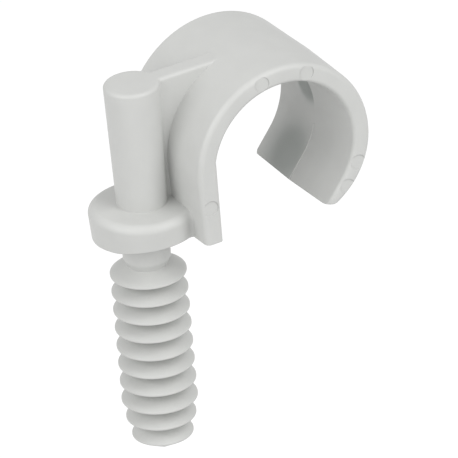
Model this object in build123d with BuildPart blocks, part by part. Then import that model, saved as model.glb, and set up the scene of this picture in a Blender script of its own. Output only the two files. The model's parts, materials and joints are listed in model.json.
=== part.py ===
"""Drive-in pipe clip, moulded in one piece.

An open hook holds the pipe. A post carries the hammer blow down to a round flange, and a
finned plug under the flange goes into the wall. A thin web ties the post to the hook.

Frame: the plug's axis is Z and the flange's underside, which meets the wall, is z = 0. The
hook reaches out along +X and the pipe lies along Y. The mould parts on the plane y = 0.
"""

import os
from math import cos, radians, sin, tan

from build123d import *

# Driving dimensions, in millimetres and degrees

# Pipe seat and hook
seat_radius = 8.95  # at the parting plane, a slight grip on an 18 mm pipe
leg_offset = 3.16  # plug axis to the leg's outer face, at the parting plane
seat_height = 8.42  # flange underside to pipe axis
seat_land = 0.4  # plain round strip beside the parting plane
hook_wall = 2.62  # at the parting plane
hook_width = 16.9
draft = 1.2  # each side of the parting plane
front_edge_radius = 0.65
back_edge_radius = 0.55
inner_edge_radii = (0.5, 0.2)  # at the front and the back
inner_edge_flats = 3  # each of these roundings is made of flats
flare_angle = 39.0  # below the pipe axis, where the seat runs out straight to the tip
tip_thinning = 1.6  # how far the tip's outer arc is moved out, which thins the wall
tip_corner_radii = (1.3, 0.7)  # at the tip's front and back corners
leg_face = 8.89  # pipe axis to the leg's flat inner face
leg_gap = 0.25  # the leg stops this far short of the wall
tip_gap = 0.08  # the tip, likewise
leg_lean = 1.9  # the leg's outer face comes in towards its foot
relief_height = 0.6  # the seat's roof is set back by this, behind the parting plane
relief_fade = 0.34  # what is lost of that on the way to the back face

# Flange, post and web
flange_radius = 6.44  # at its top
flange_thickness = 3.95  # at the parting plane
flange_top_draft = 3.2
flange_top_round = 1.0
flange_side_draft = 2.5
flange_corner_radius = 0.5  # where the flange's side sweeps into the leg
flange_seat_width = 6.4  # flat strip under the flange, along the parting plane
flange_seat_draft = 7.0  # beside that strip
post_foot_radius = 2.95
post_top_radius = 3.3
post_height = 19.25  # flange underside to post top
post_top_round = 0.45
web_thickness = 2.4
web_root_radius = 0.3

# Plug
neck_radius = 2.82
neck_length = 3.3  # flange underside to where the neck narrows
neck_foot_radius = 2.4  # at the first fin
core_radius = 2.1
fin_radius = 4.5
fin_count = 10
fin_pitch = 2.39
first_fin_depth = 5.2  # flange underside to the first rim
fin_bevel = 0.12  # around a fin's top
fin_land = 0.15  # plain round edge below the bevel
fin_rise = 0.9  # root of a fin's crowned top above its rim
fin_bend = 1.1  # core to where that top bends, on a full fin
fin_bend_rise = 0.55
lead_fin_radii = (4.14, 3.63)  # the last fins step down to the point
point_length = 2.1
point_radius = 0.25

# Ejector marks on the front face
mark_radius = 0.93
mark_depth = 0.1
mark_angles = (103.0, 69.5, -22.8, -40.3)  # around the pipe axis, on the hook
mark_reach = 10.25  # pipe axis to the middle of a mark
leg_mark_height = 4.9

# Derived sizes
half_width = hook_width / 2
slope = tan(radians(draft))
outer_radius = seat_radius + hook_wall
seat_reach = leg_offset + outer_radius  # plug axis to pipe axis
tip_outer_radius = outer_radius - tip_thinning
past = 2.0  # how far a cutter runs past what it cuts
snap = 0.01  # how near a corner lies to where it is looked for
tip_sweep = 75  # degrees of wall made for the tip, past its end
leg_x = seat_reach - leg_face
leg_taper = seat_height * tan(radians(leg_lean))
leg_line = leg_offset + leg_taper + slope * half_width  # behind all of the leg's outer face
flare = radians(flare_angle)
tip_x = seat_reach + seat_radius / cos(flare) - (seat_height - tip_gap) * tan(flare)
last_fin_depth = first_fin_depth + fin_pitch * (fin_count - 1)
plug_length = last_fin_depth + fin_bevel + fin_land + point_length
seat_run = half_width - seat_land / 2  # strip to face
mouth_radius = seat_radius + slope * seat_run
relief_slope = slope - relief_fade / seat_run
pipe_axis = Axis((seat_reach, 0, seat_height), (0, 1, 0))
mark_spots = [(leg_x - hook_wall / 2, leg_mark_height)]
for mark_angle in mark_angles:
    turn = radians(mark_angle)
    mark_spots.append((seat_reach + mark_reach * cos(turn), seat_height + mark_reach * sin(turn)))


def seat_plane(angle, shift=0.0):
    """A plane through the pipe axis: local x runs out at this angle, local y along the pipe."""
    turn = radians(angle)
    return Plane(
        origin=(seat_reach + shift, 0, seat_height),
        x_dir=(cos(turn), 0, sin(turn)),
        z_dir=(-sin(turn), 0, cos(turn)),
    )


def drum_section(radius):
    """Half section of a drafted drum about the pipe axis, with rounded rims."""
    rim = radius - slope * half_width
    with BuildSketch() as section:
        with BuildLine():
            Polyline(
                (0, -half_width),
                (rim, -half_width),
                (radius, 0),
                (rim, half_width),
                (0, half_width),
                close=True,
            )
        make_face()
        front, back = section.vertices().group_by(Axis.X)[1].sort_by(Axis.Y)
        fillet(front, front_edge_radius)
        fillet(back, back_edge_radius)
    return section.sketch


def seat_section():
    """Half section of the drafted pipe space, opening at both mouths by a rounding."""
    lip = mouth_radius + max(inner_edge_radii) + past
    outline = []
    for side, radius in zip((-1, 1), inner_edge_radii):
        half = [(0, side * (half_width + past)), (lip, side * (half_width + past)), (lip, side * half_width)]
        for step in range(inner_edge_flats + 1):
            turn = radians(90 * step / inner_edge_flats)
            reach = mouth_radius + radius * (1 - sin(turn))
            half.append((reach, side * (half_width - radius * (1 - cos(turn)))))
        half.append((seat_radius, side * seat_land / 2))
        outline += half if side < 0 else reversed(half)
    with BuildSketch() as section:
        with BuildLine():
            Polyline(*outline, close=True)
        make_face()
    return section.sketch


def fin_radius_at(index):
    """Radius of a fin, counted from the flange: the last ones step down."""
    lead = index - (fin_count - len(lead_fin_radii))
    return lead_fin_radii[lead] if lead >= 0 else fin_radius


def plug_outline():
    """Half outline of the plug, from inside the flange down to the point."""
    points = [
        (0, flange_thickness / 2),
        (neck_radius, flange_thickness / 2),
        (neck_radius, -neck_length),
    ]
    for index in range(fin_count):
        rim = -first_fin_depth - fin_pitch * index
        radius = fin_radius_at(index)
        reach = (radius - core_radius) / (fin_radius - core_radius)
        points += [
            (core_radius if index else neck_foot_radius, rim + fin_rise),
            (core_radius + fin_bend * reach, rim + fin_bend_rise),
            (radius - fin_bevel, rim),
            (radius, rim - fin_bevel),
            (radius, rim - fin_bevel - fin_land),
        ]
    return points + [(point_radius, -plug_length), (0, -plug_length)]


# Flange: two drafted halves, each swept into the leg, with one rounded top edge
with BuildPart() as flange:
    with BuildSketch(Plane.XY.offset(flange_thickness).rotated((flange_top_draft, 0, 0))) as plan:
        Circle(flange_radius)
        with Locations((leg_line, 0)):
            Rectangle(leg_face, hook_width - 2 * front_edge_radius, align=(Align.MIN, Align.CENTER))
        corners = plan.vertices().filter_by_position(Axis.X, leg_line - snap, leg_line + snap)
        fillet(corners.sort_by(Axis.Y)[1:-1], flange_corner_radius)
    extrude(amount=-flange_thickness - past, taper=flange_side_draft)
    top = flange.faces().sort_by(Axis.Z)[-1]
    fillet(top.edges().filter_by_position(Axis.X, -flange_radius, leg_line), flange_top_round)
    split(bisect_by=Plane.XZ, keep=Keep.TOP)
    with BuildSketch(Plane.YZ.offset(-flange_radius - past)):
        with BuildLine():
            Polyline(
                (past, 0),
                (-flange_seat_width / 2, 0),
                (-hook_width, tan(radians(flange_seat_draft)) * (hook_width - flange_seat_width / 2)),
                (-hook_width, -flange_thickness),
                (past, -flange_thickness),
                close=True,
            )
        make_face()
    extrude(amount=2 * flange_radius + leg_face + past, mode=Mode.SUBTRACT)
    mirror(about=Plane.XZ)

# Plug, turned about its axis
with BuildPart() as plug:
    with BuildSketch(Plane.XZ):
        with BuildLine():
            Polyline(*plug_outline(), close=True)
        make_face()
    revolve(axis=Axis.Z)

# Post and web, joined by rounded corners and finished with one rounded top edge
with BuildPart() as post:
    with BuildSketch(Plane.XZ):
        with BuildLine():
            Polyline(
                (0, flange_thickness / 2),
                (post_foot_radius, flange_thickness / 2),
                (post_top_radius, post_height),
                (0, post_height),
                close=True,
            )
        make_face()
    revolve(axis=Axis.Z)
    with BuildSketch(Plane.XZ):
        with Locations((0, flange_thickness / 2)):
            Rectangle(
                seat_reach - outer_radius + hook_wall / 2,
                post_height - flange_thickness / 2,
                align=(Align.MIN, Align.MIN),
            )
        with Locations((0, seat_height)):
            Rectangle(seat_reach, post_height - seat_height, align=(Align.MIN, Align.MIN))
        with Locations((seat_reach, seat_height)):
            Circle(outer_radius - hook_wall / 2, mode=Mode.SUBTRACT)
    extrude(amount=web_thickness / 2, both=True)
    near_post = post.edges().filter_by_position(Axis.X, web_thickness / 2, post_top_radius)
    roots = near_post.filter_by_position(Axis.Z, flange_thickness, post_height - past)
    fillet(roots, web_root_radius)
    rim = post.faces().sort_by(Axis.Z)[-1].edges()
    fillet(rim.filter_by_position(Axis.X, -flange_radius, seat_reach - hook_wall), post_top_round)

# Pipe space: round over the roof, straight down the leg and straight out at the tip
with BuildPart() as pipe_space:
    with BuildSketch(seat_plane(180)):
        add(seat_section())
    revolve(axis=pipe_axis, revolution_arc=180 + flare_angle)
    with BuildSketch(seat_plane(180)):
        add(seat_section())
    extrude(amount=seat_height + past)
    with BuildSketch(seat_plane(-flare_angle)):
        add(seat_section())
    extrude(amount=-seat_radius)

# Flat inner face of the leg, with its edges rounded like the seat's
with BuildPart() as leg_pad:
    with Locations((leg_x - hook_wall / 2, 0, leg_gap)):
        Box(
            hook_wall / 2,
            hook_width,
            seat_height + hook_wall - leg_gap,
            align=(Align.MIN, Align.CENTER, Align.MIN),
        )
    pad_edges = leg_pad.faces().sort_by(Axis.X)[-1].edges().filter_by(Axis.Z).sort_by(Axis.Y)
    for edge, radius in zip(pad_edges, inner_edge_radii):
        fillet(edge, radius)

# Tip's corners, rounded as seen from the wall
with BuildPart() as tip_corners:
    for side, radius in zip((-1, 1), tip_corner_radii):
        arc_start = half_width - radius
        corner_x = tip_x + slope * (arc_start - seat_land / 2) / cos(flare)
        with BuildSketch():
            with Locations((corner_x + (radius - past) / 2, side * (arc_start + (radius + past) / 2))):
                Rectangle(radius + past, radius + past)
            with Locations((corner_x + radius, side * arc_start)):
                Circle(radius, mode=Mode.SUBTRACT)
        extrude(amount=seat_height / 2)

# Roof of the seat behind the strip at the parting plane, set back and fading to the back face
with BuildPart() as roof_relief:
    with BuildSketch(Plane((seat_reach, 0, seat_height + relief_height))):
        with BuildLine():
            Polyline(
                (0, seat_land / 2),
                (seat_radius, seat_land / 2),
                (seat_radius + relief_slope * (seat_run + past), half_width + past),
                (0, half_width + past),
                close=True,
            )
        make_face()
    revolve(axis=Axis((seat_reach, 0, seat_height + relief_height), (0, 1, 0)))

# The whole clip
with BuildPart() as pipe_clip:
    # hook: roof, leg and thinner tip, both ending short of the wall
    with BuildSketch(seat_plane(180 + leg_lean)):
        add(drum_section(outer_radius))
    revolve(axis=pipe_axis, revolution_arc=180 + leg_lean)
    with BuildSketch(seat_plane(180 + leg_lean)):
        add(drum_section(outer_radius))
    extrude(amount=seat_height)
    split(bisect_by=Plane.XY.offset(leg_gap), keep=Keep.TOP)
    with BuildSketch(seat_plane(0, tip_thinning)):
        add(drum_section(tip_outer_radius))
    revolve(
        axis=Axis((seat_reach + tip_thinning, 0, seat_height), (0, 1, 0)),
        revolution_arc=tip_sweep,
    )
    split(bisect_by=Plane.XY.offset(tip_gap), keep=Keep.TOP)
    add(flange.part)
    add(post.part)
    add(plug.part)
    add(pipe_space.part, mode=Mode.SUBTRACT)
    add(tip_corners.part, mode=Mode.SUBTRACT)
    add(roof_relief.part, mode=Mode.SUBTRACT)
    # flat inner face of the leg
    add(leg_pad.part)
    # ejector marks
    with BuildSketch(Plane.XZ.offset(half_width - mark_depth)):
        with Locations(*mark_spots):
            Circle(mark_radius)
    extrude(amount=past, mode=Mode.SUBTRACT)

pipe_clip.part.label = "pipe_clip"
os.makedirs("parts", exist_ok=True)
export_step(pipe_clip.part, "parts/pipe_clip.step")
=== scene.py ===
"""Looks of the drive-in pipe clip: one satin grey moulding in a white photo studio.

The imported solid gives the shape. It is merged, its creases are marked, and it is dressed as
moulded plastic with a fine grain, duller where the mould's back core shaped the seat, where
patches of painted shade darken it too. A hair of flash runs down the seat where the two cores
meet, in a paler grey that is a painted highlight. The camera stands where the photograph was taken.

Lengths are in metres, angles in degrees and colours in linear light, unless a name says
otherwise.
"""

from __future__ import annotations

import json
import logging
import math
from dataclasses import dataclass, field
from enum import Enum

import bmesh
import bpy
from mathutils import Matrix, Vector

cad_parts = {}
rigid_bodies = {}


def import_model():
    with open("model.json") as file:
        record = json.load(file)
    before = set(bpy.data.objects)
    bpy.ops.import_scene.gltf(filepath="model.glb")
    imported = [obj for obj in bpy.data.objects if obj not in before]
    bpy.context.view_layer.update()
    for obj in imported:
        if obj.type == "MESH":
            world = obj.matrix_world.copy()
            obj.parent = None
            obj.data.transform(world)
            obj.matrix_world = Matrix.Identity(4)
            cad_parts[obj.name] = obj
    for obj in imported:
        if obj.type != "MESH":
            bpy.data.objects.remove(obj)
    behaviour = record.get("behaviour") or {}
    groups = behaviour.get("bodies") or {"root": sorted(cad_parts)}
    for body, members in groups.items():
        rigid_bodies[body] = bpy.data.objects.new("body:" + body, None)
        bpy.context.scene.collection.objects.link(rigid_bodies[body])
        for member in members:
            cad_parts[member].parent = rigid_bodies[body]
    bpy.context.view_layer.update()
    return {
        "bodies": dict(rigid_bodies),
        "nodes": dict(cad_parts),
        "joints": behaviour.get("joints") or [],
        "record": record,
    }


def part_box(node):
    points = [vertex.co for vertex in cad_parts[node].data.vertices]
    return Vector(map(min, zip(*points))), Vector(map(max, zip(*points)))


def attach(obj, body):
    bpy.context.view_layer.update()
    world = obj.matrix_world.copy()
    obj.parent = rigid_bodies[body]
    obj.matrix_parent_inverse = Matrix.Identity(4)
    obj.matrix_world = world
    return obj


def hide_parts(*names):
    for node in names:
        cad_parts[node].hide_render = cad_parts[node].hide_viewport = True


LOG = logging.getLogger("pipe_clip_scene")
MM = 0.001
BODY = "root"
CLIP_NODE = "pipe_clip"
WHITE = (1.0, 1.0, 1.0, 1.0)
NODE_SPACING = 220


class SeenBy(Enum):
    """Kinds of ray that are shown the plain white background."""

    CAMERA = "Is Camera Ray"
    GLOSSY = "Is Glossy Ray"
    TRANSMISSION = "Is Transmission Ray"


class NodeBench:
    """Lays out and links the nodes of one node tree."""

    def __init__(self, tree: bpy.types.NodeTree) -> None:
        """Clears the tree and keeps it.

        Args:
            tree: The node tree of a material or a world.
        """
        self.tree = tree
        self.tree.nodes.clear()
        self.column = 0

    def add(self, kind: str, label: str, **settings: object) -> bpy.types.Node:
        """Adds one node.

        Args:
            kind: The node's type name.
            label: What the node is for.
            settings: Plain properties of the node, such as its operation.

        Returns:
            The new node.
        """
        node = self.tree.nodes.new(kind)
        node.label = label
        node.location = (NODE_SPACING * self.column, 0)
        self.column += 1
        for name, value in settings.items():
            setattr(node, name, value)
        return node

    def link(self, source: bpy.types.NodeSocket, target: bpy.types.NodeSocket) -> None:
        """Links an output socket to an input socket."""
        self.tree.links.new(source, target)

    def math(
        self, operation: str, label: str, first: bpy.types.NodeSocket, second: object
    ) -> bpy.types.NodeSocket:
        """Adds a Math node.

        Args:
            operation: The node's operation.
            label: What the result is for.
            first: The socket to link.
            second: Another socket to link, or a number.

        Returns:
            The node's output socket.
        """
        node = self.add("ShaderNodeMath", label, operation=operation)
        self.link(first, node.inputs[0])
        if isinstance(second, bpy.types.NodeSocket):
            self.link(second, node.inputs[1])
        else:
            node.inputs[1].default_value = second
        return node.outputs[0]

    def seen_by(self) -> bpy.types.NodeSocket:
        """Adds the test for rays that see the plain background.

        Returns:
            A socket that is 1 for those rays and 0 for the rest.
        """
        path = self.add("ShaderNodeLightPath", "which ray")
        total: object = 0.0
        for kind in SeenBy:
            total = self.math("MAXIMUM", kind.name.lower(), path.outputs[kind.value], total)
        return total


@dataclass(frozen=True)
class ShadePatch:
    """A duller patch of the surface with painted shade, full to its inner radius and gone at its
    outer one.
    """

    centre: tuple[float, float, float]
    inner: float
    outer: float
    # painted shade: this darker tone stands in for shade falling in the seat
    tone: tuple[float, float, float] = (0.455, 0.475, 0.460)
    roughness: float = 0.95


@dataclass(frozen=True)
class SatinPlastic:
    """Light grey plastic as it leaves the mould, with a fine spark-eroded grain."""

    name: str = "satin_grey_plastic"
    pale: tuple[float, float, float] = (0.597, 0.602, 0.587)
    deep: tuple[float, float, float] = (0.582, 0.587, 0.572)
    cloud_size: float = 3.2 * MM
    cloud_detail: float = 3.0
    cloud_from: float = 0.35
    cloud_to: float = 0.65
    grain_size: float = 0.16 * MM
    grain_detail: float = 2.0
    grain_height: float = 0.004 * MM
    ripple_size: float = 2.4 * MM
    ripple_detail: float = 1.0
    ripple_height: float = 0.006 * MM
    rough_low: float = 0.40
    rough_high: float = 0.52
    specular: float = 0.42
    edge_softness: float = 0.12 * MM
    edge_samples: int = 8
    # Patches of painted shade, each one also duller
    shade_patches: tuple[ShadePatch, ...] = ()

    def build(self) -> bpy.types.Material:
        """Makes the material.

        Returns:
            The finished material.
        """
        material = bpy.data.materials.new(self.name)
        material.use_nodes = True
        bench = NodeBench(material.node_tree)
        where = bench.add("ShaderNodeTexCoord", "place on the part").outputs["Object"]
        cloud = self._noise(bench, where, "flow clouding", self.cloud_size, self.cloud_detail)
        grain = self._noise(bench, where, "mould grain", self.grain_size, self.grain_detail)
        ripple = self._noise(
            bench, where, "shrinkage ripple", self.ripple_size, self.ripple_detail
        )

        shader = bench.add("ShaderNodeBsdfPrincipled", "moulded plastic")
        shader.inputs["Specular IOR Level"].default_value = self.specular
        colour = self._colour(bench, cloud)
        roughness = self._roughness(bench, grain)
        # Painted shade: each patch darkens the colour where shade falls, and also dulls the surface
        for shade_patch in self.shade_patches:
            patch_strength = self._patch_strength(bench, where, shade_patch)
            colour = self._toned(bench, patch_strength, colour, shade_patch)
            roughness = self._dulled(bench, patch_strength, roughness, shade_patch)
        bench.link(colour, shader.inputs["Base Color"])
        bench.link(roughness, shader.inputs["Roughness"])
        bench.link(self._relief(bench, grain, ripple), shader.inputs["Normal"])
        out = bench.add("ShaderNodeOutputMaterial", "surface")
        bench.link(shader.outputs["BSDF"], out.inputs["Surface"])
        return material

    def _noise(
        self, bench: NodeBench, where: bpy.types.NodeSocket, label: str, size: float, detail: float
    ) -> bpy.types.NodeSocket:
        """Adds a noise of a real size.

        Args:
            bench: The material's nodes.
            where: The coordinates to read.
            label: What the noise is for.
            size: Size of one cell, in metres.
            detail: Octaves of finer noise.

        Returns:
            The noise value, from 0 to 1.
        """
        node = bench.add("ShaderNodeTexNoise", label)
        node.inputs["Scale"].default_value = 1.0 / size
        node.inputs["Detail"].default_value = detail
        bench.link(where, node.inputs["Vector"])
        return node.outputs["Fac"]

    def _colour(self, bench: NodeBench, cloud: bpy.types.NodeSocket) -> bpy.types.NodeSocket:
        """Blends the two greys by the clouding.

        Args:
            bench: The material's nodes.
            cloud: The clouding, from 0 to 1.

        Returns:
            The colour socket.
        """
        ramp = bench.add("ShaderNodeValToRGB", "grey clouding")
        dark_end, light_end = ramp.color_ramp.elements
        dark_end.position = self.cloud_from
        dark_end.color = (*self.deep, 1.0)
        light_end.position = self.cloud_to
        light_end.color = (*self.pale, 1.0)
        bench.link(cloud, ramp.inputs["Fac"])
        return ramp.outputs["Color"]

    def _roughness(self, bench: NodeBench, grain: bpy.types.NodeSocket) -> bpy.types.NodeSocket:
        """Spreads the grain over the range of roughness.

        Args:
            bench: The material's nodes.
            grain: The grain, from 0 to 1.

        Returns:
            The roughness socket.
        """
        spread = bench.add("ShaderNodeMapRange", "satin spread")
        spread.inputs["To Min"].default_value = self.rough_low
        spread.inputs["To Max"].default_value = self.rough_high
        bench.link(grain, spread.inputs["Value"])
        return spread.outputs["Result"]

    def _patch_strength(
        self, bench: NodeBench, where: bpy.types.NodeSocket, shade_patch: ShadePatch
    ) -> bpy.types.NodeSocket:
        """Measures how strong a patch of painted shade is.

        Args:
            bench: The material's nodes.
            where: The coordinates to read.
            shade_patch: The patch of painted shade.

        Returns:
            A socket from 0, clear, to 1, at the middle of the patch.
        """
        away = bench.add("ShaderNodeVectorMath", "way from the blush", operation="DISTANCE")
        away.inputs[1].default_value = shade_patch.centre
        bench.link(where, away.inputs[0])
        fade = bench.add("ShaderNodeMapRange", "blush fade", interpolation_type="SMOOTHSTEP")
        fade.inputs["From Min"].default_value = shade_patch.inner
        fade.inputs["From Max"].default_value = shade_patch.outer
        fade.inputs["To Min"].default_value = 1.0
        fade.inputs["To Max"].default_value = 0.0
        bench.link(away.outputs["Value"], fade.inputs["Value"])
        return fade.outputs["Result"]

    def _toned(
        self,
        bench: NodeBench,
        patch_strength: bpy.types.NodeSocket,
        colour: bpy.types.NodeSocket,
        shade_patch: ShadePatch,
    ) -> bpy.types.NodeSocket:
        """Paints shade: darkens the colour by a patch of painted shade.

        Args:
            bench: The material's nodes.
            patch_strength: The strength of the patch.
            colour: The plain colour.
            shade_patch: The patch of painted shade.

        Returns:
            The colour socket.
        """
        # painted shade: mixes the patch's darker tone into the colour
        mix = bench.add("ShaderNodeMix", "blush tone", data_type="RGBA")
        sockets = {socket.identifier: socket for socket in mix.inputs}
        sockets["B_Color"].default_value = (*shade_patch.tone, 1.0)
        bench.link(patch_strength, sockets["Factor_Float"])
        bench.link(colour, sockets["A_Color"])
        return next(socket for socket in mix.outputs if socket.identifier == "Result_Color")

    def _dulled(
        self,
        bench: NodeBench,
        patch_strength: bpy.types.NodeSocket,
        roughness: bpy.types.NodeSocket,
        shade_patch: ShadePatch,
    ) -> bpy.types.NodeSocket:
        """Dulls the surface by a patch.

        Args:
            bench: The material's nodes.
            patch_strength: The strength of the patch.
            roughness: The plain roughness.
            shade_patch: The patch.

        Returns:
            The roughness socket.
        """
        dull = bench.math("MULTIPLY", "blush dullness", patch_strength, shade_patch.roughness)
        return bench.math("MAXIMUM", "duller of the two", roughness, dull)

    def _relief(
        self, bench: NodeBench, grain: bpy.types.NodeSocket, ripple: bpy.types.NodeSocket
    ) -> bpy.types.NodeSocket:
        """Softens the creases where the finish asks for it, then adds ripple and grain.

        Args:
            bench: The material's nodes.
            grain: The grain, from 0 to 1.
            ripple: The ripple, from 0 to 1.

        Returns:
            The normal socket.
        """
        if self.edge_softness:
            shape = bench.add("ShaderNodeBevel", "soft creases", samples=self.edge_samples)
            shape.inputs["Radius"].default_value = self.edge_softness
        else:
            shape = bench.add("ShaderNodeNewGeometry", "moulded shape")
        normal = shape.outputs["Normal"]
        for label, height, depth in (
            ("ripple", ripple, self.ripple_height),
            ("grain", grain, self.grain_height),
        ):
            bump = bench.add("ShaderNodeBump", label)
            bump.inputs["Strength"].default_value = 1.0
            bump.inputs["Distance"].default_value = depth
            bench.link(height, bump.inputs["Height"])
            bench.link(normal, bump.inputs["Normal"])
            normal = bump.outputs["Normal"]
        return normal


# Painted shade in the seat behind the core line, each patch also duller: a broad patch near the tip,
# then a wedge under the roof with a darker edge on the core line
CORE_FACE_PAINTED_SHADE = SatinPlastic(
    name="core_grey_painted_shade",
    shade_patches=(
        ShadePatch(centre=(21.0 * MM, 2.9 * MM, 2.1 * MM), inner=1.5 * MM, outer=5.8 * MM),
        ShadePatch(centre=(23.43 * MM, 1.5 * MM, 10.59 * MM), inner=1.3 * MM, outer=3.1 * MM),
        ShadePatch(
            centre=(23.5 * MM, 0.1 * MM, 10.2 * MM),
            inner=0.2 * MM,
            outer=1.8 * MM,
            tone=(0.425, 0.440, 0.430),
        ),
    ),
)
# Paler than the moulding: a painted highlight standing in for light catching the hair of flash
FLASH = SatinPlastic(
    name="flash_painted_highlight", pale=(0.70, 0.70, 0.69), deep=(0.67, 0.67, 0.66), edge_softness=0.0
)


@dataclass(frozen=True)
class PipeSeat:
    """Where the pipe lies: a round seat that runs out straight to the hook's tip."""

    axis_x: float = 14.73 * MM
    axis_z: float = 8.42 * MM
    radius: float = 8.95 * MM
    flare: float = 39.0
    tip_level: float = 0.08 * MM
    core_line: float = 0.1 * MM
    wall_reach: float = 10.6 * MM
    wall_facing: float = 0.3

    def centre(self, along: float) -> Vector:
        """The point of the pipe's axis at this place along the pipe."""
        return Vector((self.axis_x, along, self.axis_z))

    def shaped_by_back_core(self, face: bmesh.types.BMFace) -> bool:
        """Tells whether a face of the skin is seat wall behind the parting plane.

        Args:
            face: A face of the clip's skin.

        Returns:
            True for the seat's wall on the back core's side.
        """
        place = face.calc_center_median()
        inward = self.centre(place.y) - place
        behind = place.y > self.core_line
        near = inward.length < self.wall_reach
        facing = face.normal.dot(inward.normalized()) > self.wall_facing
        return behind and near and facing


@dataclass
class ClipMoulding:
    """The whole clip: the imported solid, merged to one skin and dressed."""

    frame: dict
    name: str = "clip_moulding"
    weld_gap: float = 0.0005 * MM
    crease_angle: float = 40.0
    seat: PipeSeat = field(default_factory=PipeSeat)
    finish: SatinPlastic = field(default_factory=SatinPlastic)
    # the seat's back half: duller, with patches of painted shade
    core_finish_and_shade: SatinPlastic = CORE_FACE_PAINTED_SHADE

    def build(self) -> bpy.types.Object:
        """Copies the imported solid, merges its loose triangles and marks its creases.

        Returns:
            The visible piece.
        """
        source = self.frame["nodes"][CLIP_NODE]
        shell = bmesh.new()
        shell.from_mesh(source.data)
        bmesh.ops.remove_doubles(shell, verts=shell.verts, dist=self.weld_gap)
        limit = math.radians(self.crease_angle)
        for face in shell.faces:
            face.smooth = True
            # faces of the seat behind the core line take the finish with painted shade
            face.material_index = int(self.seat.shaped_by_back_core(face))
        for edge in shell.edges:
            edge.smooth = edge.calc_face_angle(math.pi) < limit
        skin = bpy.data.meshes.new(self.name)
        shell.to_mesh(skin)
        shell.free()
        piece = bpy.data.objects.new(self.name, skin)
        bpy.context.scene.collection.objects.link(piece)
        return piece

    def dress(self, piece: bpy.types.Object) -> None:
        """Gives the piece its finish and its place in the frame.

        Args:
            piece: The visible piece.
        """
        for finish in (self.finish, self.core_finish_and_shade):
            piece.data.materials.append(finish.build())
        weighting = piece.modifiers.new("even_shading", "WEIGHTED_NORMAL")
        weighting.keep_sharp = True
        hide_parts(CLIP_NODE)
        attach(piece, BODY)


@dataclass
class SeatFlash:
    """The hair of flash down the seat, where the mould's two cores meet."""

    seat: PipeSeat = field(default_factory=PipeSeat)
    name: str = "seat_flash"
    thickness: float = 0.16 * MM
    sides: int = 8
    start_angle: float = -14.0
    steps: int = 24
    place: float = 0.1 * MM
    # painted highlight: the hair's paler grey
    finish: SatinPlastic = FLASH

    def build(self) -> bpy.types.Object:
        """Spins a small round section down the seat and draws it out straight to the tip.

        Returns:
            The visible piece.
        """
        hair = bmesh.new()
        ring = bmesh.ops.create_circle(
            hair, cap_ends=True, segments=self.sides, radius=self.thickness / 2
        )["verts"]
        centre = self.seat.centre(self.place)
        bmesh.ops.translate(hair, verts=ring, vec=centre + Vector((self.seat.radius, 0.0, 0.0)))
        to_start = Matrix.Rotation(-math.radians(self.start_angle), 3, "Y")
        bmesh.ops.rotate(hair, verts=ring, cent=centre, matrix=to_start)
        section = ring[0].link_faces[:]
        swept = bmesh.ops.spin(
            hair,
            geom=section + list({edge for face in section for edge in face.edges}) + ring,
            cent=centre,
            axis=(0.0, 1.0, 0.0),
            angle=math.radians(self.start_angle + self.seat.flare),
            steps=self.steps,
            use_merge=False,
        )["geom_last"]
        self._draw_out(hair, [item for item in swept if isinstance(item, bmesh.types.BMFace)])
        bmesh.ops.recalc_face_normals(hair, faces=hair.faces)
        for face in hair.faces:
            face.smooth = len(face.verts) == 4
        mesh = bpy.data.meshes.new(self.name)
        hair.to_mesh(mesh)
        hair.free()
        piece = bpy.data.objects.new(self.name, mesh)
        bpy.context.scene.collection.objects.link(piece)
        return piece

    def _draw_out(self, hair: bmesh.types.BMesh, end: list[bmesh.types.BMFace]) -> None:
        """Carries the hair straight on from the round seat to the tip.

        Args:
            hair: The hair so far.
            end: Its end face.
        """
        lean = math.radians(self.seat.flare)
        drop = self.seat.axis_z - self.seat.radius * math.sin(lean) - self.seat.tip_level
        run = drop / math.cos(lean)
        grown = bmesh.ops.extrude_face_region(hair, geom=end)["geom"]
        corners = [item for item in grown if isinstance(item, bmesh.types.BMVert)]
        bmesh.ops.translate(hair, verts=corners, vec=(-run * math.sin(lean), 0.0, -drop))
        bmesh.ops.delete(hair, geom=end, context="FACES")

    def dress(self, piece: bpy.types.Object) -> None:
        """Gives the hair its finish and its place in the frame.

        Args:
            piece: The visible piece.
        """
        piece.data.materials.append(self.finish.build())
        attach(piece, BODY)


@dataclass(frozen=True)
class Softbox:
    """One large soft lamp that looks at the clip."""

    name: str
    azimuth: float
    elevation: float
    width: float
    height: float
    watts: float
    distance: float = 0.60

    def build(self, target: Vector) -> bpy.types.Object:
        """Hangs the lamp.

        Args:
            target: The point that it looks at.

        Returns:
            The lamp.
        """
        lamp = bpy.data.lights.new(self.name, "AREA")
        lamp.shape = "RECTANGLE"
        lamp.size = self.width
        lamp.size_y = self.height
        lamp.energy = self.watts
        obj = bpy.data.objects.new(self.name, lamp)
        bpy.context.scene.collection.objects.link(obj)
        out = view_direction(self.azimuth, self.elevation)
        obj.location = target + out * self.distance
        obj.rotation_euler = out.to_track_quat("Z", "Y").to_euler()
        return obj


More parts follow.
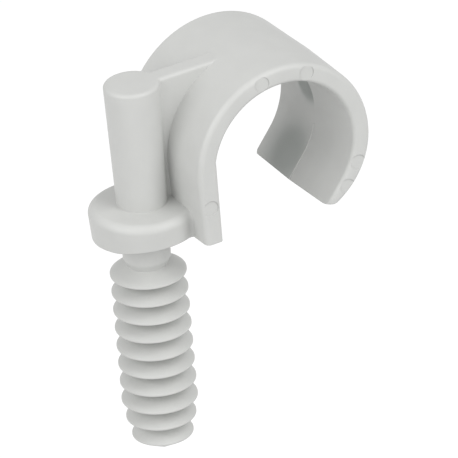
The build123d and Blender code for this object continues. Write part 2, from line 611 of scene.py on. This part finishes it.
@dataclass
class Studio:
    """White world, pale floor and soft lamps."""

    sky: float = 0.59
    floor_gap: float = 30 * MM
    floor_size: float = 1.6
    floor_grey: float = 0.62
    floor_lift: float = 0.48
    boxes: tuple[Softbox, ...] = (
        Softbox(name="left_box", azimuth=-76.0, elevation=29.0, width=0.55, height=0.40, watts=1.52),
        Softbox(name="right_box", azimuth=24.0, elevation=38.0, width=0.34, height=0.58, watts=1.78),
    )

    def build(self, low: Vector, middle: Vector) -> None:
        """Sets up everything around the clip.

        Args:
            low: The lowest corner of the clip.
            middle: The point that the lamps look at.
        """
        self._world()
        self._floor(low.z - self.floor_gap)
        for box in self.boxes:
            box.build(middle)
            LOG.info("lamp %s", box.name)

    def _world(self) -> None:
        """Lights the clip from all round, and shows white behind it."""
        world = bpy.data.worlds.new("studio")
        world.use_nodes = True
        bpy.context.scene.world = world
        bench = NodeBench(world.node_tree)
        seen = bench.seen_by()
        light = bench.add("ShaderNodeBackground", "room light")
        light.inputs["Strength"].default_value = self.sky
        light.inputs["Color"].default_value = WHITE
        white = bench.add("ShaderNodeBackground", "white backdrop")
        white.inputs["Strength"].default_value = 1.0
        white.inputs["Color"].default_value = WHITE
        mix = bench.add("ShaderNodeMixShader", "which ray sees what")
        bench.link(seen, mix.inputs[0])
        bench.link(light.outputs[0], mix.inputs[1])
        bench.link(white.outputs[0], mix.inputs[2])
        out = bench.add("ShaderNodeOutputWorld", "world")
        bench.link(mix.outputs[0], out.inputs["Surface"])

    def _floor(self, level: float) -> None:
        """Lays the pale floor.

        Args:
            level: Height of the floor.
        """
        slab = bmesh.new()
        bmesh.ops.create_grid(slab, x_segments=1, y_segments=1, size=self.floor_size / 2)
        bmesh.ops.translate(slab, verts=slab.verts, vec=(0.0, 0.0, level))
        mesh = bpy.data.meshes.new("floor")
        slab.to_mesh(mesh)
        slab.free()
        floor = bpy.data.objects.new("floor", mesh)
        bpy.context.scene.collection.objects.link(floor)
        floor.data.materials.append(self._floor_paint())

    def _floor_paint(self) -> bpy.types.Material:
        """Makes the floor's paint, which reads as white and keeps a faint shadow.

        Returns:
            The material.
        """
        material = bpy.data.materials.new("floor_paint")
        material.use_nodes = True
        bench = NodeBench(material.node_tree)
        seen = bench.seen_by()
        paint = bench.add("ShaderNodeBsdfDiffuse", "paint")
        paint.inputs["Color"].default_value = (*(self.floor_grey,) * 3, 1.0)
        glow = bench.add("ShaderNodeEmission", "white lift")
        glow.inputs["Strength"].default_value = self.floor_lift
        both = bench.add("ShaderNodeAddShader", "lifted paint")
        bench.link(paint.outputs[0], both.inputs[0])
        bench.link(glow.outputs[0], both.inputs[1])
        mix = bench.add("ShaderNodeMixShader", "which ray sees what")
        bench.link(seen, mix.inputs[0])
        bench.link(paint.outputs[0], mix.inputs[1])
        bench.link(both.outputs[0], mix.inputs[2])
        out = bench.add("ShaderNodeOutputMaterial", "surface")
        bench.link(mix.outputs[0], out.inputs["Surface"])
        return material


@dataclass(frozen=True)
class PhotoCamera:
    """The camera of the photograph, measured from the centre of the flange's underside."""

    azimuth: float = -27.6016
    elevation: float = 28.6441
    roll: float = -4.8865
    frame_pixels: float = 458.0
    focal_pixels: float = 7338.0
    distance: float = 849.7448 * MM
    across: float = 9.7813 * MM
    above: float = 0.0822 * MM
    sensor_mm: float = 36.0
    nearest: float = 0.05
    farthest: float = 10.0

    def build(self) -> bpy.types.Object:
        """Places the camera and makes it the scene's own.

        Returns:
            The camera.
        """
        back = view_direction(self.azimuth, self.elevation)
        turn = math.radians(self.azimuth)
        flat = Vector((math.cos(turn), math.sin(turn), 0.0))
        rise = back.cross(flat)
        tilt = math.radians(self.roll)
        right = flat * math.cos(tilt) + rise * math.sin(tilt)
        up = rise * math.cos(tilt) - flat * math.sin(tilt)
        lens = bpy.data.cameras.new("photo_camera")
        lens.sensor_fit = "HORIZONTAL"
        lens.sensor_width = self.sensor_mm
        lens.lens = self.focal_pixels * self.sensor_mm / self.frame_pixels
        lens.clip_start = self.nearest
        lens.clip_end = self.farthest
        camera = bpy.data.objects.new("photo_camera", lens)
        bpy.context.scene.collection.objects.link(camera)
        camera.matrix_world = Matrix(
            (
                (right.x, up.x, back.x, 0.0),
                (right.y, up.y, back.y, 0.0),
                (right.z, up.z, back.z, 0.0),
                (0.0, 0.0, 0.0, 1.0),
            )
        )
        camera.location = right * self.across + up * self.above + back * self.distance
        bpy.context.scene.camera = camera
        return camera


def view_direction(azimuth: float, elevation: float) -> Vector:
    """Direction from the clip to a viewer.

    Args:
        azimuth: Degrees round the clip, 0 from the front.
        elevation: Degrees above the horizon.

    Returns:
        A unit vector.
    """
    turn = math.radians(azimuth)
    lift = math.radians(elevation)
    return Vector(
        (math.sin(turn) * math.cos(lift), -math.cos(turn) * math.cos(lift), math.sin(lift))
    )


def main() -> None:
    """Builds the clip, the studio and the camera."""
    logging.basicConfig(level=logging.INFO, format="%(message)s")
    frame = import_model()
    bpy.context.scene.view_settings.view_transform = "Standard"
    clip = ClipMoulding(frame)
    piece = clip.build()
    clip.dress(piece)
    LOG.info("piece %s with %d faces", piece.name, len(piece.data.polygons))
    flash = SeatFlash()
    hair = flash.build()
    flash.dress(hair)
    LOG.info("piece %s with %d faces", hair.name, len(hair.data.polygons))
    low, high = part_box(CLIP_NODE)
    Studio().build(low, (low + high) / 2)
    PhotoCamera().build()


if __name__ == "__main__":
    main()
